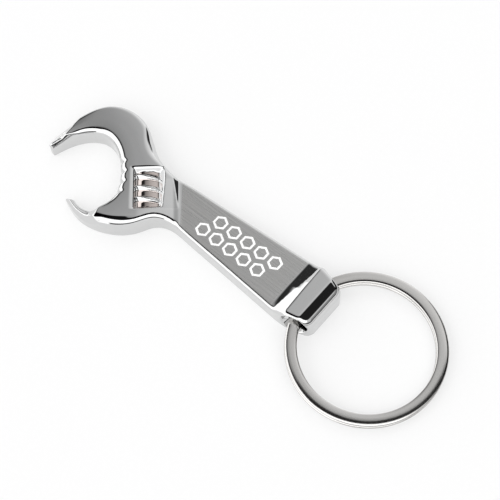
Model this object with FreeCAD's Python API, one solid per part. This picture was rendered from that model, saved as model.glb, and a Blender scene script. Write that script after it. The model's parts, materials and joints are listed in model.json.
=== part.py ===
import FreeCAD, Part
import math
import os

# Keychain bottle opener: a plated zinc casting shaped like a small adjustable spanner, and the flat
# double-coil split ring that runs through the slotted eye at the end of its handle.
#
# While it is built, x runs along the handle from the jaws to the eye, y across it and z up. x is measured
# from the centre of the split ring, y from the middle of the handle and z from the face that lies on the
# table. At the end everything moves so that the origin is the middle of the footprint.

Vector = FreeCAD.Vector
Z_UP = Vector(0, 0, 1)

# Split ring
ring_outer_radius = 16.0
ring_inner_radius = 13.55
coil_thickness = 0.95
coil_gap = 0.1
jog_half_angle = 9.0        # degrees of ring either side of the step from the lower coil to the upper one
coil_end_gap = 2.0          # degrees of clearance at each free end of the wire
ring_side_shift = -0.5      # the ring lies off the middle of the eye

# Handle
neck_x = -46.0
panel_end_x = -19.6
neck_half_width = 4.65
handle_half_width = 6.45    # where the panel ends
panel_height = 4.2

# Eye, at the end of the handle
eye_height = 6.1
eye_side_middle = (-16.2, 6.5)      # points on the eye's outline, x and y
eye_side_end = (-12.4, 5.7)
eye_corner_middle = (-10.95, 5.0)
eye_corner_end = (-10.4, 3.9)
eye_top_x = (-16.3, -13.3)
eye_step = (-18.0, 4.9)             # x and height of the crease part of the way up from the panel
eye_bevel = ((-11.7, 5.66), (-11.0, 5.2), (-10.4, 4.7))
slot_height = 4.5
slot_length = 5.1
slot_mouth_start_y = 4.8            # from here outwards the slot opens out
slot_mouth_flare = 0.45
pivot_radius = 14.1                 # from the ring's centre to the line that it swings about

# Head with the open jaws, laid out in a frame of its own: p runs from the mouth to the handle, q across
head_origin = Vector(-60.5, -3.5, 0)
head_turn = 41.6            # degrees between the jaws' line and the handle
upper_outside = ((-16.9, 10.5), (-13.6, 14.2), (-9.6, 17.1), (-4.4, 18.85), (0.6, 17.4), (4.1, 13.4),
                 (5.5, 9.2), (7.0, 4.9), (9.8, 1.3))
lower_outside = ((8.6, -9.4), (5.6, -8.6), (2.4, -9.55), (-1.6, -10.05), (-6.4, -8.9), (-10.2, -6.45),
                 (-13.1, -2.1))
mouth_edge = ((-11.3, -2.4), (-9.5, -4.6), (-7.2, -5.4), (-4.6, -4.7), (-2.5, -2.7), (-1.6, 0.2),
              (-1.6, 5.2), (-2.7, 9.0), (-4.9, 11.6), (-8.0, 12.45), (-12.4, 11.6), (-16.2, 9.65))
neck_upper_x = neck_x - 4   # where the head's two outside curves run into the handle
neck_lower_x = neck_x + 1
lower_tip_bulge = 0.35
head_height = 5.4
jaw_tops = ((-17.5, 3.7), (-13.0, 4.3), (-8.0, 5.0), (-1.0, 5.4))     # p and height, thinner to the tips
ramp_start_p = 10.1
ramp_end_p = 11.8

# Relief of the adjusting worm, cast into a shallow recess of the head
recess_p = (1.1, 7.85)
recess_q = (-6.5, 3.0)
recess_floor = 4.25
worm_p = (1.65, 6.85)
worm_q = (-6.0, 2.3)
worm_top = 5.3
worm_edge_height = 4.55
pocket_depth = 0.6
thread_width = 1.2
thread_pitch = 2.6
thread_slant = 5.1
thread_first_q = 0.95
thread_count = 4

# Rack teeth along the back of the mouth
notch_radius = 0.8
notch_centre_p = -1.25
notch_floor = 4.2
notch_first_q = 4.9
notch_pitch = 2.4
notch_count = 4

margin = 0.1                # by which cutting shapes pass the surfaces that they cut
beyond = 90.0               # a distance past any end of the part

ring_thickness = 2 * coil_thickness + coil_gap
slot_centre = Vector(-pivot_radius, 0, eye_height / 2)


def head_point(p, q, z=0.0):
    """A point given in the head's frame."""
    turn = math.radians(head_turn)
    x = head_origin.x + p * math.cos(turn) - q * math.sin(turn)
    y = head_origin.y + p * math.sin(turn) + q * math.cos(turn)
    return Vector(x, y, z)


def place_on_head(shape):
    """A copy of a shape drawn with x as p and y as q, in its place on the head."""
    return shape.rotated(Vector(0, 0, 0), Z_UP, head_turn).translated(head_origin)


def spline(points):
    curve = Part.BSplineCurve()
    curve.interpolate(Points=points)
    return curve.toShape()


def arc(start, middle, end):
    return Part.Arc(start, middle, end).toShape()


def half_width(x):
    """The handle widens evenly from the neck to the eye."""
    return neck_half_width + (handle_half_width - neck_half_width) * (x - neck_x) / (panel_end_x - neck_x)


def outline():
    """The casting seen from above, starting at the outside of the upper jaw's tip."""
    upper_outer = [head_point(*pq) for pq in upper_outside]
    upper_outer.append(Vector(neck_upper_x, half_width(neck_upper_x), 0))
    lower_outer = [Vector(neck_lower_x, -half_width(neck_lower_x), 0)]
    lower_outer += [head_point(*pq) for pq in lower_outside]
    mouth = [head_point(*pq) for pq in mouth_edge]
    panel_corner = Vector(panel_end_x, handle_half_width, 0)
    eye_side = [panel_corner, Vector(*eye_side_middle, 0), Vector(*eye_side_end, 0)]
    corner = [eye_side[-1], Vector(*eye_corner_middle, 0), Vector(*eye_corner_end, 0)]
    mirrored = [[Vector(v.x, -v.y, 0) for v in reversed(points)] for points in (corner, eye_side)]
    towards_tip = head_point(-1, 1) - head_point(0, 0)
    tip_middle = (lower_outer[-1] + mouth[0]) * 0.5 + towards_tip * lower_tip_bulge
    edges = [
        spline(upper_outer),
        Part.LineSegment(upper_outer[-1], eye_side[0]).toShape(),
        arc(*eye_side),
        arc(*corner),
        Part.LineSegment(corner[-1], mirrored[0][0]).toShape(),
        arc(*mirrored[0]),
        arc(*mirrored[1]),
        Part.LineSegment(mirrored[1][-1], lower_outer[0]).toShape(),
        spline(lower_outer),
        arc(lower_outer[-1], tip_middle, mouth[0]),
        spline(mouth),
        Part.LineSegment(mouth[-1], upper_outer[0]).toShape(),
    ]
    return Part.Wire(edges)


def space_above(profile):
    """The space over a run of (distance, height) points, as wide as the whole part."""
    sky = 2 * eye_height
    points = [Vector(distance, -beyond, height) for distance, height in profile]
    points += [Vector(profile[-1][0], -beyond, sky), Vector(profile[0][0], -beyond, sky)]
    face = Part.Face(Part.makePolygon(points + points[:1]))
    return face.extrude(Vector(0, 2 * beyond, 0))


def handle_top():
    """What is cut away over the panel and the eye."""
    rise = [(-beyond, panel_height), (panel_end_x, panel_height), eye_step]
    top = [(x, eye_height) for x in eye_top_x]
    along = space_above(rise + top + list(eye_bevel) + [(beyond, eye_bevel[-1][1])])
    ramp = space_above([(ramp_start_p, head_height), (ramp_end_p, panel_height), (beyond, panel_height)])
    return along.common(place_on_head(ramp))


def head_top():
    """What is cut away over the jaws and the head."""
    return place_on_head(space_above(list(jaw_tops) + [(ramp_start_p, head_height)]))


def upright_box(p_range, q_range, floor):
    """A block from a floor up through the top of the head."""
    return Part.makeBox(p_range[1] - p_range[0], q_range[1] - q_range[0], head_height,
                        Vector(p_range[0], q_range[0], floor))


def worm():
    """The worm: a low rounded bar with slanted threads standing between pockets."""
    half = (worm_p[1] - worm_p[0]) / 2
    drop = worm_top - worm_edge_height
    radius = (half ** 2 + drop ** 2) / (2 * drop)
    middle_p = worm_p[0] + half
    start = Vector(middle_p, worm_q[0], worm_top - radius)
    length = worm_q[1] - worm_q[0]
    bar = Part.makeCylinder(radius, length, start, Vector(0, 1, 0))
    core = Part.makeCylinder(radius - pocket_depth, length, start, Vector(0, 1, 0))
    slabs = []
    for i in range(thread_count):
        slab = Part.makeBox(2 * head_height, thread_width, 2 * head_height)
        slab.translate(Vector(-head_height, -thread_width / 2, 0))
        slab.rotate(Vector(0, 0, 0), Z_UP, -thread_slant)
        slab.translate(Vector(middle_p, thread_first_q - i * thread_pitch, 0))
        slabs.append(slab)
    threads = bar.common(slabs[0].fuse(slabs[1:]))
    return core.fuse(threads).common(upright_box(worm_p, worm_q, recess_floor - pocket_depth))


def rack_notches():
    notches = []
    for i in range(notch_count):
        foot = Vector(notch_centre_p, notch_first_q - i * notch_pitch, notch_floor)
        notches.append(place_on_head(Part.makeCylinder(notch_radius, head_height, foot)))
    return notches


def slot_section(y, extra):
    """The slot's round-ended outline at a distance across the eye."""
    radius = slot_height / 2 + extra
    left = slot_centre + Vector(0, y, 0)
    right = left + Vector(slot_length - slot_height, 0, 0)
    up = Vector(0, 0, radius)
    out = Vector(radius, 0, 0)
    return Part.Wire([
        arc(left + up, left - out, left - up),
        Part.LineSegment(left - up, right - up).toShape(),
        arc(right - up, right + out, right + up),
        Part.LineSegment(right + up, left + up).toShape(),
    ])


def eye_slot():
    """A slot with round ends, right across the eye, that opens out at both mouths."""
    inside = slot_mouth_start_y
    middle = Part.Face(slot_section(-inside, 0)).extrude(Vector(0, 2 * inside, 0))
    outside = handle_half_width + margin
    mouths = []
    for side in (-1, 1):
        sections = [slot_section(side * inside, 0), slot_section(side * outside, slot_mouth_flare)]
        mouths.append(Part.makeLoft(sections, True))
    return middle.fuse(mouths)


def opener_body():
    face = Part.Face(outline())
    body = face.extrude(Z_UP * (eye_height + margin))
    body = body.cut([head_top(), handle_top()])
    body = body.cut(place_on_head(upright_box(recess_p, recess_q, recess_floor)))
    body = body.fuse(place_on_head(worm()))
    body = body.cut(rack_notches() + [eye_slot()])
    return body.removeSplitter()


def coil(base_z):
    """One flat turn of the ring, open where the wire steps from one turn to the other."""
    start = 180 + jog_half_angle
    sweep = 360 - 2 * jog_half_angle
    bottom = Vector(0, 0, base_z)
    outer = Part.makeCylinder(ring_outer_radius, coil_thickness, bottom, Z_UP, sweep)
    inner = Part.makeCylinder(ring_inner_radius, coil_thickness, bottom, Z_UP)
    turn = outer.cut(inner)
    turn.rotate(Vector(0, 0, 0), Z_UP, start)
    return turn


def wire_section(angle, base_z):
    """The wire's cross-section, standing across the ring at an angle."""
    radial = Vector(math.cos(math.radians(angle)), math.sin(math.radians(angle)), 0)
    low = Vector(0, 0, base_z)
    high = Vector(0, 0, base_z + coil_thickness)
    corners = [radial * ring_inner_radius + low, radial * ring_outer_radius + low,
               radial * ring_outer_radius + high, radial * ring_inner_radius + high]
    return Part.makePolygon(corners + corners[:1])


def jog():
    """The short sloping length of wire that joins the lower turn to the upper one."""
    steps = 6
    rise = coil_thickness + coil_gap
    sections = []
    for i in range(steps + 1):
        t = i / steps
        ease = t * t * (3 - 2 * t)
        sections.append(wire_section(180 - jog_half_angle + 2 * jog_half_angle * t, rise * ease))
    return Part.makeLoft(sections, True)


def free_end_gap(side, base_z):
    """Trims a free end of the wire back from the jog."""
    start = 180 + jog_half_angle if side > 0 else 180 - jog_half_angle - coil_end_gap
    bottom = Vector(0, 0, base_z)
    gap = Part.makeCylinder(ring_outer_radius + margin, coil_thickness + coil_gap, bottom, Z_UP,
                            coil_end_gap)
    gap.rotate(Vector(0, 0, 0), Z_UP, start)
    return gap


def split_ring():
    upper_z = coil_thickness + coil_gap
    lower = coil(0).cut(free_end_gap(1, 0))
    upper = coil(upper_z).cut(free_end_gap(-1, coil_thickness + coil_gap / 2))
    ring = lower.fuse([upper, jog()])
    ring.translate(Vector(0, 0, -ring_thickness / 2))
    ring.rotate(Vector(-pivot_radius, 0, 0), Vector(0, 1, 0), ring_rest_tilt())
    ring.translate(Vector(0, ring_side_shift, slot_centre.z))
    return ring


def ring_rest_tilt():
    """Degrees that the ring leans, from the middle of the slot down to the table at its far side."""
    reach = ring_outer_radius + pivot_radius
    half = ring_thickness / 2
    return math.degrees(math.asin(slot_centre.z / math.hypot(reach, half)) - math.atan2(half, reach))


def main():
    shapes = {"opener_body": opener_body(), "split_ring": split_ring()}
    whole = Part.makeCompound(list(shapes.values())).optimalBoundingBox(False, False)
    to_origin = Vector(-whole.Center.x, -whole.Center.y, -whole.ZMin)
    os.makedirs("parts", exist_ok=True)
    for name, shape in shapes.items():
        shape.translate(to_origin)
        box = shape.optimalBoundingBox(False, False)
        print(name, "solids", len(shape.Solids), "valid", shape.isValid(), "volume", round(shape.Volume, 1),
              "x", round(box.XMin, 2), round(box.XMax, 2), "y", round(box.YMin, 2), round(box.YMax, 2),
              "z", round(box.ZMin, 2), round(box.ZMax, 2))
        shape.exportStep("parts/" + name + ".step")
    pivot = slot_centre + to_origin
    print("ring pivot", round(pivot.x, 3), round(pivot.y + ring_side_shift, 3), round(pivot.z, 3),
          "rest tilt", round(ring_rest_tilt(), 2), "moved by", [round(c, 3) for c in to_origin])


main()
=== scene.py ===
import json
import math

import bpy
import numpy as np
from mathutils import Matrix, Vector


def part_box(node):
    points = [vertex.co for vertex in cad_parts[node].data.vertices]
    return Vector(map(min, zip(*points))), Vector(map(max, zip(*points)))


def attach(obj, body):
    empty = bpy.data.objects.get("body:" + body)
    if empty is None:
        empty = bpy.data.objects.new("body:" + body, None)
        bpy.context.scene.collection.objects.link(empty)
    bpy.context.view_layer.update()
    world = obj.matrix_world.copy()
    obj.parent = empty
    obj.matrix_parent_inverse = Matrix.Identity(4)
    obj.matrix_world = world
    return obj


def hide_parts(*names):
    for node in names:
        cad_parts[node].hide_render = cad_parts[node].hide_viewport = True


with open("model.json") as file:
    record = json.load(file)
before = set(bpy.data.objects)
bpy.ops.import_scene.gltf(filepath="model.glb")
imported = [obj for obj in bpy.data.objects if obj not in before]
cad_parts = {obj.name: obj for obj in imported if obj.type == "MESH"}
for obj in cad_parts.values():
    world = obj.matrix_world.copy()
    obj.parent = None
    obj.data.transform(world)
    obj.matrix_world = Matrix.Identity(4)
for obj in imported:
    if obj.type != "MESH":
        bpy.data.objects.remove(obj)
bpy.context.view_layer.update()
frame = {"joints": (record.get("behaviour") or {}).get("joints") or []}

# The keychain opener is shaped here in millimetres, measured as in its drawing: x from the middle of the
# split ring, y from the middle of the handle, z from the table. to_frame() puts a shape in its place.

MM = 0.001
SWING = frame["joints"][0]
SWING_LINE = Vector(SWING["pos_m"]) / MM
PIVOT_RADIUS = 14.1          # from the ring's middle to the line it swings about
RING_SIDE_SHIFT = -0.5       # the ring lies off the middle of the eye
DRAWING_ORIGIN = np.array([SWING_LINE.x + PIVOT_RADIUS, SWING_LINE.y - RING_SIDE_SHIFT, 0.0])

# Split ring
RING_OUTER = 16.0
RING_INNER = 13.55
COIL_THICKNESS = 0.95
COIL_GAP = 0.1
RING_THICKNESS = 2 * COIL_THICKNESS + COIL_GAP
JOG_HALF_ANGLE = 9.0         # degrees of ring either side of the step from one turn to the next
COIL_END_GAP = 2.0           # degrees of clearance at each free end of the wire

# Handle and eye
NECK_X = -46.0
NECK_HALF_WIDTH = 4.65
PANEL_END_X = -19.6
RISE_START_X = -19.7
HANDLE_HALF_WIDTH = 6.45
PANEL_HEIGHT = 4.2
EYE_HEIGHT = 6.1
BROW_X = -18.9               # crease half way up the rise, at one side of the handle
BROW_SKEW = 1.8              # how much further along it is at the other side
CREST_X = -16.1              # top of the rise, likewise
CREST_SKEW = -0.45
EYE_SIDE = ((-16.2, 6.5), (-12.4, 5.7))
EYE_CORNER = ((-12.4, 5.7), (-10.95, 5.0), (-10.4, 3.9))
EYE_BEVEL = ((-14.0, EYE_HEIGHT), (-13.3, EYE_HEIGHT), (-11.7, 5.66), (-11.0, 5.2), (-10.2, 4.5))
SLOT_HEIGHT = 4.5
SLOT_LENGTH = 5.1
SLOT_MOUTH_START = 4.8
SLOT_MOUTH_LENGTH = 1.7
SLOT_MOUTH_FLARE = 0.45
SLOT_ROUND = 0.25
BOTTOM_ROUND = 0.3

# Head, in a frame of its own: p from the mouth to the handle, q across the jaws
HEAD_ORIGIN = (-60.5, -3.5)
HEAD_TURN = math.radians(41.6)
HEAD_HEIGHT = 5.4
UPPER_OUTSIDE = ((-16.9, 10.5), (-13.6, 14.2), (-9.6, 17.1), (-4.4, 18.85), (0.6, 17.4), (4.1, 13.4),
                 (5.5, 9.2), (7.0, 4.9), (9.8, 1.3))
LOWER_OUTSIDE = ((8.6, -9.4), (5.6, -8.6), (2.4, -9.55), (-1.6, -10.05), (-6.4, -8.9), (-10.2, -6.45),
                 (-13.1, -2.1))
MOUTH_EDGE = ((-11.3, -2.4), (-9.5, -4.6), (-7.2, -5.4), (-4.6, -4.7), (-2.5, -2.7), (-1.6, 0.2),
              (-1.6, 5.2), (-2.7, 9.0), (-4.9, 11.6), (-8.0, 12.45), (-12.4, 11.6), (-16.2, 9.65))

# Top of the head and of the jaws
CROWN = 0.16                 # height of the middle over the edges
CROWN_REACH = 3.5
LOWER_BEVEL_WIDTH = 1.8
LOWER_BEVEL_SLOPE = 0.25
TIP_CREASE = (-10.71, 15.78)             # a point on the crease before the upper jaw's tip
TIP_CREASE_WAY = (-0.815, 0.58)          # the way the first facet falls
TIP_FACET = (-13.3, 12.6)
TIP_FACET_WAY = (-0.748, 0.664)
HEAD_ROUND = 1.15
LOWER_TIP_ROUND = 0.35
UPPER_TIP = (-16.6, 10.0)
UPPER_TIP_ROUND = 0.5
SHOULDER = (5.6, 8.2)
SHOULDER_ROUND = 2.2
HANDLE_ROUND = 0.7
MOUTH_ROUND = 1.3

# Step from the head down to the panel, deepest at its upper end
STEP_TOP_P = 9.64
STEP_FOOT_P = 10.65
STEP_TOP_HEIGHT = 5.03
STEP_SLOPE = 0.75
STEP_UPPER_Q = 0.2
STEP_RUN = 6.8               # how far across the head the step takes to run out
PANEL_START_P = 11.5

# Relief of the adjusting worm in its recess
RECESS_P = (1.1, 7.95)
RECESS_Q = (-6.65, 3.1)
RECESS_LIP = 0.4
RECESS_FLOOR = 4.25
WORM_MIDDLE_P = 4.25
WORM_HALF_WIDTH = 2.6
WORM_Q = (-6.05, 2.3)
WORM_TOP = 5.3
WORM_DROP = 0.75             # from the worm's middle down to its edges
POCKET_DEPTH = 0.6
THREAD_PITCH = 2.6
THREAD_SLANT = -0.09
THREAD_FIRST_Q = 0.95

# Teeth of the rack across the back of the mouth
NOTCH_FIRST_Q = 4.9
NOTCH_PITCH = 2.4
NOTCH_COUNT = 4
NOTCH_HALF_WIDTH = 0.75
NOTCH_DEPTH = 0.45
NOTCH_FOOT_Z = 3.2
NOTCH_FADE = 1.6

# Marks etched in the panel: two staggered rows of hexagon outlines
MARK_ROWS = ((1.7, -39.4), (-1.7, -41.2))      # each row's y, and the x of its first mark
MARK_PITCH = 3.6
MARK_COUNT = 5
MARK_RADIUS = 1.2                              # from the middle to a flat side

CELL = 0.18                  # size of the cubes that the casting is meshed from
BATCH = 4000                 # points measured at once


# ---------------------------------------------------------------- camera

VIEW_AZIMUTH = 45.88
VIEW_ELEVATION = 63.04
VIEW_ROLL = -6.0
VIEW_DISTANCE = 285.3
VIEW_AIM = Vector((-0.19, 2.75, 0.0))
VIEW_FIELD = 1400 / 500      # focal length over sensor width


def make_camera():
    """A long lens that looks down on the opener from over the key ring's near side."""
    azimuth, elevation = math.radians(VIEW_AZIMUTH), math.radians(VIEW_ELEVATION)
    level = math.cos(elevation)
    back = Vector((math.sin(azimuth) * level, -math.cos(azimuth) * level, math.sin(elevation)))
    data = bpy.data.cameras.new("camera")
    data.lens = data.sensor_width * VIEW_FIELD
    data.clip_start = 10 * MM
    camera = bpy.data.objects.new("camera", data)
    bpy.context.scene.collection.objects.link(camera)
    roll = Matrix.Rotation(math.radians(VIEW_ROLL), 4, "Z")
    aim = (-back).to_track_quat("-Z", "Y").to_matrix().to_4x4()
    camera.matrix_world = Matrix.Translation((VIEW_AIM + back * VIEW_DISTANCE) * MM) @ aim @ roll
    bpy.context.scene.camera = camera


# ---------------------------------------------------------------- shader helper

class Value:
    """A number that changes over a surface. Sums and products of these become Math nodes."""

    def __init__(self, shader, socket):
        self.shader = shader
        self.socket = socket

    def _math(self, operation, *parts):
        node = self.shader.node("ShaderNodeMath", {"operation": operation}, dict(enumerate(parts)))
        return Value(self.shader, node.outputs[0])

    def __add__(self, other):
        return self._math("ADD", self, other)

    def __sub__(self, other):
        return self._math("SUBTRACT", self, other)

    def __mul__(self, other):
        return self._math("MULTIPLY", self, other)

    def __rsub__(self, other):
        return self._math("SUBTRACT", other, self)

    __radd__ = __add__
    __rmul__ = __mul__

    def size(self):
        return self._math("ABSOLUTE", self)

    def larger(self, other):
        return self._math("MAXIMUM", self, other)

    def smaller(self, other):
        return self._math("MINIMUM", self, other)

    def ramp(self, low, high, start=0.0, end=1.0):
        """Eases from start to end as this number goes from low to high."""
        node = self.shader.node(
            "ShaderNodeMapRange", {"interpolation_type": "SMOOTHSTEP", "clamp": True},
            {"Value": self, "From Min": low, "From Max": high, "To Min": start, "To Max": end})
        return Value(self.shader, node.outputs[0])


class Shader:
    """The nodes of one material or of the world."""

    def __init__(self, owner):
        owner.use_nodes = True
        self.tree = owner.node_tree
        self.tree.nodes.clear()

    def node(self, kind, settings=None, inputs=None):
        """Adds a node, sets it up, and gives its sockets their values or links."""
        node = self.tree.nodes.new(kind)
        for name, setting in (settings or {}).items():
            setattr(node, name, setting)
        for name, given in (inputs or {}).items():
            socket = node.inputs[name]
            given = given.socket if isinstance(given, Value) else given
            if isinstance(given, bpy.types.NodeSocket):
                self.tree.links.new(given, socket)
            else:
                socket.default_value = given
        return node

    def place(self, scale=(1, 1, 1)):
        """Where a point is on the object, in millimetres of the frame, stretched by a scale."""
        where = self.node("ShaderNodeTexCoord").outputs["Object"]
        return self.vector("MULTIPLY", where, tuple(s / MM for s in scale)).outputs[0]

    def vector(self, operation, *parts):
        return self.node("ShaderNodeVectorMath", {"operation": operation}, dict(enumerate(parts)))

    def axes(self, vector):
        node = self.node("ShaderNodeSeparateXYZ", None, {0: vector})
        return [Value(self, socket) for socket in node.outputs]

    def dot(self, vector, axis):
        return Value(self, self.vector("DOT_PRODUCT", vector, axis).outputs["Value"])

    def grey(self, level):
        return self.node("ShaderNodeCombineXYZ", None, {0: level, 1: level, 2: level}).outputs[0]

    def curve(self, value, stops):
        """Passes a number through straight steps between (number, result) stops."""
        result = stops[0][1]
        for (low, start), (high, end) in zip(stops, stops[1:]):
            limits = {"From Min": low, "From Max": high, "To Min": 0, "To Max": end - start}
            node = self.node("ShaderNodeMapRange", {"clamp": True}, {"Value": value, **limits})
            result = Value(self, node.outputs[0]) + result
        return result

    def noise(self, vector, scale, detail=2.0, roughness=0.5):
        node = self.node("ShaderNodeTexNoise", None,
                         {"Vector": vector, "Scale": scale, "Detail": detail, "Roughness": roughness})
        return Value(self, node.outputs["Fac"])

    def mix(self, factor, first, second):
        """Blends two colours."""
        node = self.node("ShaderNodeMix", {"data_type": "RGBA"}, {"Factor": factor})
        for socket, given in ((node.inputs[6], first), (node.inputs[7], second)):
            if isinstance(given, bpy.types.NodeSocket):
                self.tree.links.new(given, socket)
            else:
                socket.default_value = (*given, 1)
        return node.outputs[2]

    def bump(self, height):
        """The normal of a surface with a small relief, its height in millimetres."""
        inputs = {"Height": height, "Strength": 1.0, "Distance": MM}
        return self.node("ShaderNodeBump", None, inputs).outputs[0]

    def surface(self, inputs):
        shader = self.node("ShaderNodeBsdfPrincipled", None, inputs)
        self.node("ShaderNodeOutputMaterial", None, {"Surface": shader.outputs[0]})


# ---------------------------------------------------------------- finishes

def chrome_plate():
    """Polished plate on the casting, with a satin brushed panel on the handle and marks etched into it."""
    material = bpy.data.materials.new("chrome_plate")
    shader = Shader(material)
    place = shader.place()
    x, y, z = shader.axes(place)
    along, across = x - float(DRAWING_ORIGIN[0]), y - float(DRAWING_ORIGIN[1])
    p, q = head_place(along, across)
    on_panel = panel_area(along, across, z, p, q)
    streaks = shader.noise(shader.place((0.05, 3.5, 1.0)), 1.0, 4.0, 0.65)
    fine_streaks = shader.noise(shader.place((0.12, 16.0, 1.0)), 1.0, 3.0, 0.6)
    grain = streaks * 0.5 + fine_streaks * 0.5
    etched = etched_marks(shader, along, across) * on_panel
    haze = shader.noise(place, 0.22, 3.0, 0.55)
    orange_peel = shader.noise(place, 0.9, 2.0, 0.5)
    scuffs = shader.noise(shader.place((0.5, 1.6, 0.8)), 1.3, 5.0, 0.7).ramp(0.6, 0.78)
    polished = 0.03 + haze * 0.04 + scuffs * 0.05
    satin = 0.3 + (grain - 0.5) * 0.3
    roughness = polished + (satin - polished) * on_panel
    plate = shader.mix(haze, (0.645, 0.65, 0.655), (0.675, 0.675, 0.67))
    # the plate coloured darker and warmer at the bottom of the worm's pockets
    plate = shader.mix(worm_pockets(z, p, q), plate, (0.56, 0.50, 0.475))
    brushed = shader.mix(grain.ramp(0.3, 0.7), (0.54, 0.54, 0.535), (0.70, 0.695, 0.685))
    colour = shader.mix(on_panel, plate, brushed)
    relief = orange_peel * 0.004 * (1 - on_panel) + grain * 0.02 * on_panel - etched * 0.03
    shader.surface({
        "Base Color": shader.mix(etched, colour, (0.93, 0.93, 0.92)),
        "Metallic": 1 - etched * 0.85,
        "Roughness": roughness + (0.75 - roughness) * etched,
        "Normal": shader.bump(relief),
    })
    return material


def panel_area(along, across, z, p, q):
    """1 on the flat of the handle, inside its polished border, and 0 elsewhere."""
    border = (0.45, 0.75)
    inside = (half_width(along) - across.size()).ramp(*border)
    before_eye = along.ramp(RISE_START_X - 0.25, RISE_START_X - 0.1, 1, 0)
    past_step = (p - q * 0.055).ramp(PANEL_START_P, PANEL_START_P + 0.2)
    on_top = z.ramp(PANEL_HEIGHT - 0.25, PANEL_HEIGHT - 0.1)
    return inside * before_eye * past_step * on_top


def worm_pockets(z, p, q):
    """1 at the bottom of the pockets between the worm's threads, where the plate is coloured darker and
    warmer.
    """
    off = p - WORM_MIDDLE_P
    on_worm = off.size().ramp(WORM_HALF_WIDTH + 0.1, WORM_HALF_WIDTH - 0.1)
    on_worm = on_worm * q.ramp(WORM_Q[0] - 0.2, WORM_Q[0]) * q.ramp(WORM_Q[1], WORM_Q[1] - 0.2)
    share = off * (1 / WORM_HALF_WIDTH)
    below_bar = WORM_TOP - WORM_DROP * share * share - z
    return below_bar.ramp(POCKET_DEPTH - 0.22, POCKET_DEPTH - 0.1) * on_worm


def etched_marks(shader, along, across):
    """Two staggered rows of plain hexagon outlines, etched matt white."""
    half = MARK_PITCH / 2
    edge = 0.05                  # over which a row begins and ends
    line = (0.17, 0.27)          # half the line's width, and where it has faded out
    marks = 0
    for row_y, first_x in MARK_ROWS:
        start, stop = first_x - half, first_x - half + MARK_COUNT * MARK_PITCH
        cell = shader.node("ShaderNodeMath", {"operation": "WRAP"}, {0: along, 1: first_x + half, 2: start})
        sideways = (Value(shader, cell.outputs[0]) - first_x).size()
        upward = (across - row_y).size()
        reach = sideways.larger(sideways * math.cos(math.radians(60)) + upward * math.sin(math.radians(60)))
        outline = (reach - MARK_RADIUS).size().ramp(*line, 1, 0)
        row = along.ramp(start, start + edge) * along.ramp(stop - edge, stop, 1, 0)
        marks = outline * row + marks
    return marks


def head_place(x, y):
    """p and q of a point given by its x and y."""
    cos, sin = math.cos(HEAD_TURN), math.sin(HEAD_TURN)
    dx, dy = x - HEAD_ORIGIN[0], y - HEAD_ORIGIN[1]
    return dx * cos + dy * sin, dy * cos - dx * sin


def ring_nickel():
    """Spring wire with a nickel finish, brushed round the ring."""
    material = bpy.data.materials.new("ring_nickel")
    shader = Shader(material)
    place = shader.place()
    x, y, _ = shader.axes(place)
    middle = (DRAWING_ORIGIN[0], DRAWING_ORIGIN[1] + RING_SIDE_SHIFT, 0)
    from_middle = shader.vector("SUBTRACT", place, middle).outputs[0]
    level = shader.vector("MULTIPLY", from_middle, (1, 1, 0)).outputs[0]
    radius = Value(shader, shader.vector("LENGTH", level).outputs["Value"])
    rings = shader.node("ShaderNodeCombineXYZ", None, {0: radius * 9.0, 1: x * 0.05, 2: y * 0.05})
    grain = shader.noise(rings.outputs[0], 1.0, 4.0, 0.6)
    haze = shader.noise(place, 0.35, 3.0, 0.55)
    shader.surface({
        "Base Color": shader.mix(haze, (0.62, 0.61, 0.60), (0.68, 0.67, 0.655)),
        "Metallic": 1.0,
        "Roughness": 0.09 + haze * 0.06 + grain * 0.08,
        "Normal": shader.bump(grain * 0.006),
    })
    return material


def floor_paper():
    """The pale sheet that the opener lies on, lit a little from below as on a light table."""
    material = bpy.data.materials.new("floor_paper")
    shader = Shader(material)
    fibre = shader.noise(shader.place(), 1.2, 3.0, 0.6)
    shader.surface({
        "Base Color": shader.mix(fibre, (0.32, 0.32, 0.32), (0.34, 0.34, 0.34)),
        "Roughness": 0.9,
        "Specular IOR Level": 0.1,
        "Emission Color": (1, 1, 1, 1),
        "Emission Strength": 0.58,
    })
    return material


# ---------------------------------------------------------------- light

# Brightness of the studio round the opener. FAR_WALL and NEAR_SHEET go by degrees from the far horizon (0)
# over the top (90) to the near horizon (180), and FAR_WALL_ASIDE by degrees to the right of the middle.
FAR_WALL = ((0, 1.25), (20, 1.1), (45, 0.95), (60, 0.9), (70, 1.0), (77, 0.85), (80, 0.1), (82, 0.02))
FAR_WALL_ASIDE = ((-20, 0.03), (-16, 0.15), (-12, 0.4), (-3, 0.55), (6, 0.72), (20, 0.9), (38, 1.0),
                  (46, 0.03))
NEAR_SHEET = ((106, 0.0), (114, 1.9), (152, 1.7), (160, 0.9), (165, 0.05))
LEFT_WALL = 1.6


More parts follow.
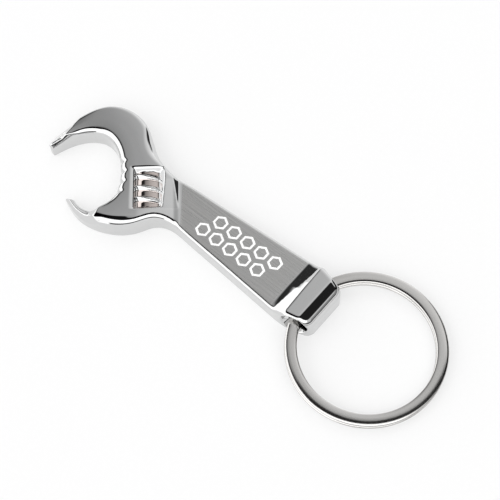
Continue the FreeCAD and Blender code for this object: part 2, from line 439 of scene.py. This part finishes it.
def make_world():
    """A soft studio: a pale far wall, a dark gap overhead, and a bright sheet above the near side."""
    world = bpy.data.worlds.new("studio")
    bpy.context.scene.world = world
    shader = Shader(world)
    direction = shader.node("ShaderNodeTexCoord").outputs["Generated"]
    azimuth = math.radians(VIEW_AZIMUTH)
    away = shader.dot(direction, (-math.sin(azimuth), math.cos(azimuth), 0))
    right = shader.dot(direction, (math.cos(azimuth), math.sin(azimuth), 0))
    height = shader.dot(direction, (0, 0, 1))
    turn = shader.node("ShaderNodeMath", {"operation": "ARCTAN2"}, {0: height, 1: away})
    degrees = Value(shader, turn.outputs[0]) * math.degrees(1)
    side = shader.node("ShaderNodeMath", {"operation": "ARCSINE"}, {0: right})
    aside = Value(shader, side.outputs[0]) * math.degrees(1)
    far_wall = shader.curve(degrees, FAR_WALL) * shader.curve(aside, FAR_WALL_ASIDE)
    # the near sheet dims towards the right, and the left wall leans away as it rises
    near_sheet = shader.curve(degrees, NEAR_SHEET) * aside.ramp(24, 40, 1, 0.42) * aside.ramp(48, 56, 1, 0.4)
    left_edge = aside * -1 - degrees.larger(0).smaller(60) * 0.12
    left_wall = left_edge.ramp(22, 25) * degrees.ramp(-10, 0) * LEFT_WALL
    horizon = height.ramp(0.03, 0.06, 1, 0)
    level = far_wall.larger(near_sheet).larger(left_wall).larger(horizon)
    background = shader.node("ShaderNodeBackground", None, {0: shader.grey(level), 1: 1.0})
    shader.node("ShaderNodeOutputWorld", None, {0: background.outputs[0]})


def overhead_light():
    """A wide soft lamp over the table, for the shadows only."""
    data = bpy.data.lights.new("overhead", "AREA")
    data.shape = "DISK"
    data.size = 2.0
    data.energy = 7.0
    light = bpy.data.objects.new("overhead", data)
    bpy.context.scene.collection.objects.link(light)
    light.matrix_world = Matrix.Translation((0, 0, 0.9))
    light.visible_glossy = False


def make_stage():
    reach = 10.0
    height = -0.01 * MM
    mesh = bpy.data.meshes.new("floor")
    corners = [(side * reach, end * reach, height) for side, end in ((-1, -1), (1, -1), (1, 1), (-1, 1))]
    mesh.from_pydata(corners, [], [(0, 1, 2, 3)])
    floor = bpy.data.objects.new("floor", mesh)
    bpy.context.scene.collection.objects.link(floor)
    mesh.materials.append(floor_paper())
    overhead_light()


# ---------------------------------------------------------------- casting: outline

def head_point(p, q):
    cos, sin = math.cos(HEAD_TURN), math.sin(HEAD_TURN)
    return (HEAD_ORIGIN[0] + p * cos - q * sin, HEAD_ORIGIN[1] + p * sin + q * cos)


def half_width(x):
    """The handle widens evenly from the neck to the eye."""
    taper = (HANDLE_HALF_WIDTH - NECK_HALF_WIDTH) / (PANEL_END_X - NECK_X)
    return (x - NECK_X) * taper + NECK_HALF_WIDTH


def smooth_run(points, step=0.05):
    """A curve through a few points with no sudden change of bend."""
    points = np.array(points, float)
    t = np.r_[0, np.cumsum(np.hypot(*np.diff(points, axis=0).T))]
    n, h = len(t), np.diff(t)
    system = np.eye(n)
    right = np.zeros((n, 2))
    for i in range(1, n - 1):
        system[i, i - 1:i + 2] = h[i - 1], 2 * (h[i - 1] + h[i]), h[i]
        right[i] = 6 * ((points[i + 1] - points[i]) / h[i] - (points[i] - points[i - 1]) / h[i - 1])
    bend = np.linalg.solve(system, right)
    at = np.linspace(0, t[-1], max(2, int(t[-1] / step)))
    i = np.clip(np.searchsorted(t, at, side="right") - 1, 0, n - 2)
    a, b = (t[i + 1] - at)[:, None], (at - t[i])[:, None]
    width = h[i][:, None]
    return ((bend[i] * a ** 3 + bend[i + 1] * b ** 3) / (6 * width)
            + (points[i] / width - bend[i] * width / 6) * a
            + (points[i + 1] / width - bend[i + 1] * width / 6) * b)


def opener_outline():
    """The casting from above as one closed line; then its mouth and the rest apart."""
    handle_xs = (-50, -44, -36, -28, -22, PANEL_END_X)
    upper = [head_point(*pq) for pq in UPPER_OUTSIDE]
    upper += [(x, half_width(x)) for x in handle_xs] + list(EYE_SIDE)
    lower = [(x, -y) for x, y in reversed(EYE_SIDE)]
    lower += [(x, -half_width(x)) for x in reversed(handle_xs[1:])]
    lower += [head_point(*pq) for pq in LOWER_OUTSIDE]
    other_corner = [(x, -y) for x, y in reversed(EYE_CORNER)]
    mouth = smooth_run([head_point(*pq) for pq in MOUTH_EDGE])
    runs = [smooth_run(upper), smooth_run(EYE_CORNER), smooth_run([EYE_CORNER[-1], other_corner[0]]),
            smooth_run(other_corner), smooth_run(lower), smooth_run([lower[-1], mouth[0]]), mouth,
            smooth_run([mouth[-1], upper[0]])]
    line = np.vstack([run[:-1] for run in runs])[::-1]
    corner_spread = 0.12
    line = polished_line(even_steps(line, 0.1), corner_spread)
    to_mouth = np.min(np.hypot(*(line[:, None] - mouth[None, ::3]).transpose(2, 0, 1)), axis=1)
    in_mouth = to_mouth < corner_spread
    return line, line[in_mouth], line[~in_mouth]


def even_steps(line, step):
    closed = np.vstack([line, line[:1]])
    t = np.r_[0, np.cumsum(np.hypot(*np.diff(closed, axis=0).T))]
    at = np.linspace(0, t[-1], int(t[-1] / step), endpoint=False)
    return np.stack([np.interp(at, t, closed[:, k]) for k in (0, 1)], 1)


def polished_line(line, spread):
    """Softens corners of a closed line, as tumbling does to a casting."""
    step = np.hypot(*(line[1] - line[0]))
    reach = int(4 * spread / step)
    weights = np.exp(-0.5 * (np.arange(-reach, reach + 1) * step / spread) ** 2)
    weights /= weights.sum()
    return sum(w * np.roll(line, k, axis=0) for k, w in zip(range(-reach, reach + 1), weights))


def nearest(points, xs, ys):
    """Distance from each point of a grid to the nearest of a few points."""
    gx, gy = np.meshgrid(xs, ys, indexing="ij")
    flat = np.stack([gx.ravel(), gy.ravel()], 1)
    squares = (points ** 2).sum(1)
    out = np.empty(len(flat))
    for start in range(0, len(flat), BATCH):
        some = flat[start:start + BATCH]
        out[start:start + BATCH] = (squares - 2 * some @ points.T).min(1) + (some ** 2).sum(1)
    return np.sqrt(np.maximum(out, 0)).reshape(gx.shape)


def distance_from(line, xs, ys):
    """Signed distance from each point of a grid to a closed line, negative inside."""
    gx, gy = np.meshgrid(xs, ys, indexing="ij")
    flat = np.stack([gx.ravel(), gy.ravel()], 1)
    out = np.empty(len(flat))
    following = np.roll(line, -1, axis=0)
    squares = (line ** 2).sum(1)
    for start in range(0, len(flat), BATCH):
        points = flat[start:start + BATCH]
        near = np.argmin(squares - 2 * points @ line.T, axis=1)
        best = np.full(len(points), np.inf)
        sign = np.ones(len(points))
        for shift in (-1, 0):
            a = line[(near + shift) % len(line)]
            b = following[(near + shift) % len(line)]
            along = b - a
            t = np.clip(((points - a) * along).sum(1) / (along ** 2).sum(1), 0, 1)
            away = points - a - along * t[:, None]
            d = np.hypot(*away.T)
            side = np.sign(along[:, 0] * away[:, 1] - along[:, 1] * away[:, 0])
            closer = d < best
            best = np.where(closer, d, best)
            sign = np.where(closer & (side != 0), side, sign)
        out[start:start + BATCH] = best * -sign
    return out.reshape(gx.shape)


# ---------------------------------------------------------------- casting: solid

def ease(t):
    t = np.clip(t, 0, 1)
    return t * t * (3 - 2 * t)


def rounded_both(a, b, radius):
    """Inside both a and b, with the edge between them rounded."""
    u, v = np.maximum(a + radius, 0), np.maximum(b + radius, 0)
    return np.minimum(np.maximum(a, b), -radius) + np.hypot(u, v)


def run_of(x, stops, spread=0.12):
    """A height that goes straight from stop to stop with its corners softened."""
    stops = np.array(stops)
    step = 0.01
    fine = np.arange(stops[0, 0] - 1, stops[-1, 0] + 1, step)
    reach = int(4 * spread / step)
    weights = np.exp(-0.5 * (np.arange(-reach, reach + 1) * step / spread) ** 2)
    height = np.interp(fine, stops[:, 0], stops[:, 1])
    height = np.convolve(np.pad(height, reach, mode="edge"), weights / weights.sum(), mode="valid")
    return np.interp(x, fine, height)


def handle_height(x, y):
    """Height of the handle's top: the flat panel, the rise to the eye and the eye's bevelled end.

    The rise has a gentle lower face and a steep upper one. The crease between them, the brow, runs askew.
    """
    share = np.clip((y + 5.5) / 10, 0, 1)
    brow, crest = BROW_X + BROW_SKEW * share, CREST_X + CREST_SKEW * share
    lower_run, upper_run = brow - RISE_START_X, crest - brow
    rise = EYE_HEIGHT - PANEL_HEIGHT
    lower_slope = np.minimum(0.5, (rise - 0.64 * upper_run) / lower_run)
    upper_slope = (rise - lower_slope * lower_run) / upper_run
    height = PANEL_HEIGHT + lower_slope * np.clip(x - RISE_START_X, 0, lower_run)
    height = height + upper_slope * np.clip(x - brow, 0, upper_run)
    return np.minimum(height, run_of(x, EYE_BEVEL))


def neck_heights(p, q):
    """The step down to the panel, which runs out towards its lower end, and the head's fall before it."""
    low = np.clip((STEP_UPPER_Q - q) / STEP_RUN, 0, 1)
    top_p = STEP_TOP_P + (STEP_FOOT_P - STEP_TOP_P) * low
    top = STEP_TOP_HEIGHT - 0.75 * low
    short_of_panel = (PANEL_START_P - p) / (PANEL_START_P - STEP_FOOT_P)
    foot = PANEL_HEIGHT + 0.08 * np.clip(short_of_panel, 0, 1.5) ** 2
    fall_p = 7 - 5 * low
    fall = np.clip((p - fall_p) / (STEP_TOP_P - fall_p), 0, 1) ** 1.5
    step = np.maximum(top - STEP_SLOPE * (p - top_p), foot)
    return step, HEAD_HEIGHT - (HEAD_HEIGHT - top) * fall


def worm_height(p, q):
    """Top of the worm: a rounded bar with pockets across it and a slanted crest between each pair."""
    off = (p - WORM_MIDDLE_P) / WORM_HALF_WIDTH
    bar = WORM_TOP - WORM_DROP * off ** 2
    lane = (q - THREAD_FIRST_Q - THREAD_SLANT * (p - WORM_MIDDLE_P)) / THREAD_PITCH
    from_middle = (lane - np.round(lane)) * THREAD_PITCH
    crest = bar - 0.6 * np.abs(from_middle + 0.45 * off)
    pocket = bar - POCKET_DEPTH
    height = pocket + (crest - pocket) * ease((0.68 - np.abs(from_middle)) / 0.2)
    inside = (np.abs(off) < 1) & (q < WORM_Q[1]) & (q > WORM_Q[0])
    return np.where(inside, height, 0)


def recess_height(p, q):
    """Floor and sloping sides of the shallow recess that the worm lies in."""
    in_from_left = p - RECESS_P[0]
    left = HEAD_HEIGHT - 0.33 * (in_from_left + RECESS_LIP) - 2.5 * np.maximum(in_from_left - RECESS_LIP, 0)
    right = RECESS_FLOOR + 0.9 * (p - RECESS_P[1] + 1.2)
    lower = RECESS_FLOOR - 1.3 * (q - RECESS_Q[0] - 0.8)
    upper_side = ((1.5, 3.5), (3.05, HEAD_HEIGHT - 0.12), (3.5, HEAD_HEIGHT), (3.8, HEAD_HEIGHT + 0.3))
    upper = run_of(q, upper_side, 0.06)
    return np.maximum.reduce([left, right, upper, lower, np.full_like(p, RECESS_FLOOR)])


def head_top(p, q, wall, mouth_wall, outer_wall):
    """Height of the head and the jaws, with the crown, the bevels and the thinned tips."""
    on_upper_jaw, on_lower_jaw = jaw_shares(q)
    _, head = neck_heights(p, q)
    crown = CROWN * (1 - np.clip(-wall / CROWN_REACH, 0, 1)) ** 2 * (1 - ease((p - 6) / 5))
    bevel = LOWER_BEVEL_SLOPE * np.clip(LOWER_BEVEL_WIDTH - outer_wall, 0, 2)
    bevel = bevel * on_lower_jaw * ease((2.5 - p) / 5)
    out_along_jaw = (-2.5 - p + np.hypot(-2.5 - p, 2.5)) / 2
    head = head - crown - bevel - 0.055 * on_upper_jaw * out_along_jaw
    # two facets at the upper jaw's tip
    past_crease = (p - TIP_CREASE[0]) * TIP_CREASE_WAY[0] + (q - TIP_CREASE[1]) * TIP_CREASE_WAY[1]
    towards_end = (p - TIP_FACET[0]) * TIP_FACET_WAY[0] + (q - TIP_FACET[1]) * TIP_FACET_WAY[1]
    head = np.minimum(head, np.maximum(4.75 - 1.6 * past_crease, 4.1 - 0.4 * towards_end))
    # the lip along the inside of the upper jaw, and the ridge along the lower one
    lip = HEAD_HEIGHT - 2.6 * claw_share(p, q) + 1.6 * mouth_wall
    head = np.where(q > 5, np.minimum(head, lip), head)
    thin = lower_thinning(p, q)
    ridge_outside = HEAD_HEIGHT - 2.8 * thin + 1.6 * outer_wall
    ridge_inside = HEAD_HEIGHT - 2.3 * thin + 0.5 * mouth_wall
    head = np.where(q < 1, np.minimum(head, np.minimum(ridge_outside, ridge_inside)), head)
    in_recess = (p > RECESS_P[0] - RECESS_LIP) & (p < RECESS_P[1])
    in_recess = in_recess & (q > RECESS_Q[0]) & (q < RECESS_Q[1] + RECESS_LIP)
    relief = np.maximum(recess_height(p, q), worm_height(p, q))
    return np.where(in_recess, np.minimum(head, relief), head)


def jaw_shares(q):
    """How far a point belongs to the upper jaw, and to the lower one."""
    return ease((q - 2) / 5), ease((1.5 - q) / 3)


def claw_share(p, q):
    """How far a point is out along the upper jaw's thinned lip."""
    return ease((-7.5 - p) / 8.5) * jaw_shares(q)[0]


def lower_thinning(p, q):
    """How far a point is out along the lower jaw's thinned tip."""
    return ease((-4.5 - p) / 4) * jaw_shares(q)[1]


def outer_rounding(x, p, q):
    """Radius of the top edge along the outside of the casting."""
    _, on_lower_jaw = jaw_shares(q)
    on_handle = ease((p - STEP_TOP_P) / (PANEL_START_P - STEP_TOP_P))
    on_eye = ease((x - PANEL_END_X) / 1.6)
    at_tip = ease((6 - np.hypot(p - UPPER_TIP[0], q - UPPER_TIP[1])) / 4)
    at_shoulder = ease((5.5 - np.hypot(p - SHOULDER[0], q - SHOULDER[1])) / 4.5)
    radius = HEAD_ROUND + 0.35 * ease(-p / 7) * on_lower_jaw
    for target, share in ((LOWER_TIP_ROUND, lower_thinning(p, q)), (UPPER_TIP_ROUND, at_tip),
                          (SHOULDER_ROUND, at_shoulder), (HANDLE_ROUND + 0.4 * on_eye, on_handle)):
        radius = radius + (target - radius) * share
    return radius


def mouth_rounding(p, q):
    """Radius of the top edge round the mouth."""
    _, on_lower_jaw = jaw_shares(q)
    return MOUTH_ROUND - claw_share(p, q) - 0.5 * ease((-6 - p) / 3) * on_lower_jaw


def rack_teeth(p, q, z):
    """How deep the rack's notches cut into the back of the mouth, fading out down the wall."""
    notches = [NOTCH_FIRST_Q - i * NOTCH_PITCH for i in range(NOTCH_COUNT)]
    teeth = sum(np.maximum(0, 1 - np.abs(q - notch) / NOTCH_HALF_WIDTH) for notch in notches)
    at_back = np.abs(p) < 4
    return (NOTCH_DEPTH * teeth * at_back)[:, :, None] * ease((z - NOTCH_FOOT_Z) / NOTCH_FADE)


def eye_slot(xs, ys, z):
    """Signed distance to the slot through the eye, with mouths that open out."""
    flare = SLOT_MOUTH_FLARE * np.clip((np.abs(ys) - SLOT_MOUTH_START) / SLOT_MOUTH_LENGTH, 0, 1)
    near_x = np.clip(xs, -PIVOT_RADIUS, -PIVOT_RADIUS + SLOT_LENGTH - SLOT_HEIGHT)
    from_axis = np.hypot((xs - near_x)[:, None, None], z - EYE_HEIGHT / 2)
    return from_axis - SLOT_HEIGHT / 2 - flare[None, :, None]


def opener_solid(xs, ys, zs):
    """Signed distance to the casting's surface over a grid, negative inside."""
    outline, mouth, rest = opener_outline()
    wall = distance_from(outline, xs, ys)
    mouth_wall, outer_wall = nearest(mouth, xs, ys), nearest(rest, xs, ys)
    gx, gy = np.meshgrid(xs, ys, indexing="ij")
    p, q = head_place(gx, gy)
    z = zs[None, None, :]
    step, _ = neck_heights(p, q)
    head = np.minimum(head_top(p, q, wall, mouth_wall, outer_wall), step)
    top = np.where(p > PANEL_START_P, handle_height(gx, gy), head)
    outer_round, mouth_round = outer_rounding(gx, p, q), mouth_rounding(p, q)
    nearest_round = np.where(mouth_wall < outer_wall, mouth_round, outer_round)
    outside = wall > 0
    notches = rack_teeth(p, q, z)
    sides = []
    for edge, edge_round, cut in ((outer_wall, outer_round, 0), (mouth_wall, mouth_round, notches)):
        edge = np.where(outside | (edge <= np.minimum(mouth_wall, outer_wall)), wall, -edge)
        edge_round = np.where(outside, nearest_round, edge_round)
        sides.append(rounded_both(edge[:, :, None] + cut, z - top[:, :, None], edge_round[:, :, None]))
    solid = rounded_both(np.maximum(*sides), -z + np.zeros_like(sides[0]), BOTTOM_ROUND)
    return rounded_both(solid, -eye_slot(xs, ys, z), SLOT_ROUND)


# ---------------------------------------------------------------- casting: mesh

def skin(solid, xs, ys, zs):
    """Covers the zero surface of a grid of distances with four-sided faces."""
    inside = solid < 0
    nx, ny, nz = solid.shape
    total = np.zeros((nx - 1, ny - 1, nz - 1, 3), np.float32)
    count = np.zeros((nx - 1, ny - 1, nz - 1), np.int16)
    origin = np.array([xs[0], ys[0], zs[0]])
    faces = []
    for axis in range(3):
        low = [slice(None)] * 3
        high = [slice(None)] * 3
        low[axis], high[axis] = slice(0, -1), slice(1, None)
        crossing = inside[tuple(low)] != inside[tuple(high)]
        where = np.argwhere(crossing)
        a = solid[tuple(low)][crossing]
        b = solid[tuple(high)][crossing]
        place = where.astype(np.float32)
        place[:, axis] += a / (a - b)
        others = [k for k in range(3) if k != axis]
        corners = []
        for d0, d1 in ((0, 0), (-1, 0), (-1, -1), (0, -1)):
            cell = where.copy()
            cell[:, others[0]] += d0
            cell[:, others[1]] += d1
            np.add.at(total, tuple(cell.T), place)
            np.add.at(count, tuple(cell.T), 1)
            corners.append(np.ravel_multi_index(tuple(cell.T), count.shape))
        quads = np.stack(corners, 1)
        turned = inside[tuple(low)][crossing]
        if axis == 1:
            turned = ~turned
        quads[~turned] = quads[~turned][:, ::-1]
        faces.append(quads)
    used = np.flatnonzero(count.ravel())
    order = np.full(count.size, -1)
    order[used] = np.arange(len(used))
    points = total.reshape(-1, 3)[used] / count.ravel()[used][:, None]
    return points * CELL + origin, order[np.vstack(faces)]


def sample(solid, points, origin):
    """Distance at any points, read between the grid's values."""
    at = (points - origin) / CELL
    at = np.clip(at, 0, np.array(solid.shape) - 1.001)
    i = at.astype(int)
    f = at - i
    value = 0
    for dx in (0, 1):
        for dy in (0, 1):
            for dz in (0, 1):
                weight = (np.abs(1 - dx - f[:, 0]) * np.abs(1 - dy - f[:, 1]) * np.abs(1 - dz - f[:, 2]))
                value = value + weight * solid[i[:, 0] + dx, i[:, 1] + dy, i[:, 2] + dz]
    return value


def settle(points, faces, solid, origin):
    """Evens the mesh out and draws it back onto the surface."""
    edges = np.vstack([faces[:, [k, (k + 1) % 4]] for k in range(4)])
    count = np.bincount(edges.ravel(), minlength=len(points))[:, None]

    def averaged(values):
        total = np.zeros_like(values)
        np.add.at(total, edges[:, 0], values[edges[:, 1]])
        np.add.at(total, edges[:, 1], values[edges[:, 0]])
        return total / count

    for _ in range(4):
        points = points + (averaged(points) - points) * 0.5
        reach = CELL * 0.5
        slope = np.stack([sample(solid, points + d, origin) - sample(solid, points - d, origin)
                          for d in np.eye(3) * reach], 1) / (2 * reach)
        length = np.maximum((slope ** 2).sum(1), 0.05)
        points = points - slope * (sample(solid, points, origin) / length)[:, None]
    return points


def to_frame(points):
    """Points of the drawing, in metres of the shared frame."""
    return (points + DRAWING_ORIGIN) * MM


def new_piece(name, points, faces, material, body, node):
    mesh = bpy.data.meshes.new(name)
    mesh.from_pydata(points.tolist(), [], faces.tolist() if isinstance(faces, np.ndarray) else faces)
    mesh.update()
    mesh.shade_smooth()
    piece = bpy.data.objects.new(name, mesh)
    bpy.context.scene.collection.objects.link(piece)
    mesh.materials.append(material)
    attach(piece, body)
    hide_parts(node)
    return piece


def make_opener():
    """The casting as one mesh, in chrome plate."""
    margin = 3 * CELL
    low, high = (Vector(v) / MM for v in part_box("opener_body"))
    spans = [(low[k] - DRAWING_ORIGIN[k] - margin, high[k] - DRAWING_ORIGIN[k] + margin) for k in range(3)]
    xs, ys, zs = (np.arange(a, b, CELL) for a, b in spans)
    solid = opener_solid(xs, ys, zs).astype(np.float32)
    origin = np.array([xs[0], ys[0], zs[0]])
    points, faces = skin(solid, xs, ys, zs)
    points = settle(points, faces, solid, origin)
    return new_piece("opener_casting", to_frame(points), faces, chrome_plate(), "opener", "opener_body")


# ---------------------------------------------------------------- split ring

def make_ring():
    """Two flat turns of wire, with the step from one to the other inside the eye."""
    width, height = RING_OUTER - RING_INNER, COIL_THICKNESS
    turns = np.radians(np.arange(0, 360, 10))
    blunt = np.where(np.cos(turns) > 0, 2 / 2.3, 2 / 3.5)     # rounder on the outside of the ring
    section = np.stack([np.sign(np.cos(turns)) * np.abs(np.cos(turns)) ** blunt * width / 2,
                        np.sign(np.sin(turns)) * np.abs(np.sin(turns)) ** blunt * height / 2], 1)
    short = JOG_HALF_ANGLE + COIL_END_GAP
    steps = 900
    turn = np.linspace(180 + short, 180 + 720 - short, steps)
    rise = ease((turn - (540 - JOG_HALF_ANGLE)) / (2 * JOG_HALF_ANGLE))
    middle = (RING_OUTER + RING_INNER) / 2
    lift = COIL_THICKNESS + COIL_GAP
    points = []
    for angle, share in zip(np.radians(turn), rise):
        wander = 0.05 * (share - 0.5) * math.cos(angle - 0.9)
        r = middle + wander + section[:, 0]
        z = -lift / 2 + lift * share + section[:, 1]
        points.append(np.stack([r * math.cos(angle), r * math.sin(angle), z], 1))
    points = np.vstack(points)
    n = len(section)
    faces = [(i * n + k, i * n + (k + 1) % n, (i + 1) * n + (k + 1) % n, (i + 1) * n + k)
             for i in range(steps - 1) for k in range(n)]
    faces.append(list(range(n - 1, -1, -1)))
    faces.append([(steps - 1) * n + k for k in range(n)])
    tilt = ring_tilt()
    points[:, 0] += PIVOT_RADIUS
    x = points[:, 0] * math.cos(tilt) + points[:, 2] * math.sin(tilt) - PIVOT_RADIUS
    z = -points[:, 0] * math.sin(tilt) + points[:, 2] * math.cos(tilt) + EYE_HEIGHT / 2
    points = np.stack([x, points[:, 1] + RING_SIDE_SHIFT, z], 1)
    return new_piece("key_ring_coil", to_frame(points), faces, ring_nickel(), "key_ring", "split_ring")


def ring_tilt():
    """How far the ring leans from the eye down to the table."""
    reach = RING_OUTER + PIVOT_RADIUS
    half = RING_THICKNESS / 2
    return math.asin(EYE_HEIGHT / 2 / math.hypot(reach, half)) - math.atan2(half, reach)


make_camera()
make_world()
make_stage()
make_opener()
make_ring()
bpy.context.scene.view_settings.view_transform = "Standard"
